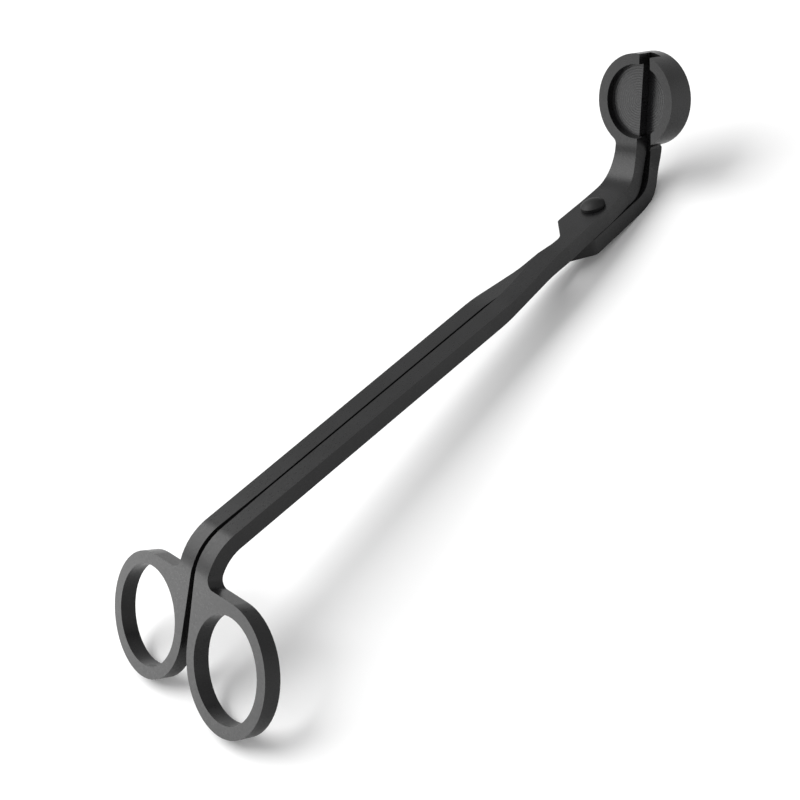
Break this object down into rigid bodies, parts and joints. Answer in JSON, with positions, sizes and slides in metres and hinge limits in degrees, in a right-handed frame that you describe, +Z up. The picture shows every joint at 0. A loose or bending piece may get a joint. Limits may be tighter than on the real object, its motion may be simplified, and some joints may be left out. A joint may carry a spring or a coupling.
{
  "type": "wick trimmer",
  "caption": "Long-armed scissors in black-coated metal with angled finger loops and a round, cupped head that trims a candle wick and catches the cut end",
  "frame": {"origin": "on the table plane, below the middle of the bounding box", "axes": "+Y runs along the tool from the finger loops to the cutting head, +Z is up, and +X points to the loop of the upper half (the user's right)"},
  "size_m": [0.0554, 0.181, 0.0314],
  "materials": {
    "black_coating": "satin black coating",
    "black_rivet": "smooth satin black coating"
  },
  "bodies": {
    "lower": {"lower_half": "black_coating", "pivot_rivet": "black_rivet"},
    "upper": {"upper_half": "black_coating"}
  },
  "joints": [
    {"name": "pivot", "type": "hinge", "parent": "lower", "child": "upper", "pos_m": [0, 0.05484, 0.00547], "axis": [0, 0.152, 0.9884], "range_deg": [0, 35]}
  ]
}
